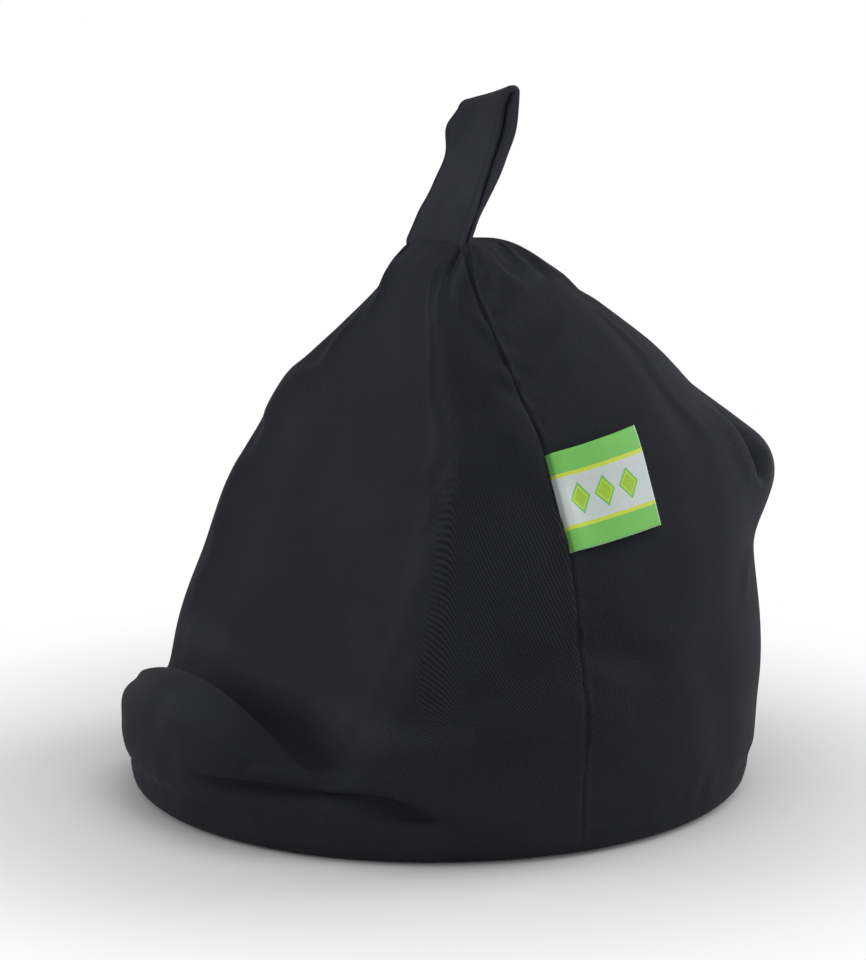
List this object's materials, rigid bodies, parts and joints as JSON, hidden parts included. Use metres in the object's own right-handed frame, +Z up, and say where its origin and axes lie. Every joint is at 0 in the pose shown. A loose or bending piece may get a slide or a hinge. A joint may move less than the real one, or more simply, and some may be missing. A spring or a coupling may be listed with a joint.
{
  "type": "cushion stand",
  "caption": "Stuffed round-based fabric cushion with a sloping front face, a lip that holds what is propped on it, a folded carry strap and a side label.",
  "frame": {"origin": "centre of the flat round base, on the surface that the cushion stands on", "axes": "+Z up; -Y is the front, where the lip and the slope are; +X is the side with the label"},
  "size_m": [0.2445, 0.2539, 0.2765],
  "materials": {
    "bag_cloth": "black cotton drill, matt",
    "strap_cloth": "black cotton drill, folded and topstitched",
    "label_ribbon": null
  },
  "bodies": {
    "root": {"stuffed_bag": "bag_cloth", "carry_strap": "strap_cloth", "side_label": "label_ribbon"}
  },
  "joints": []
}
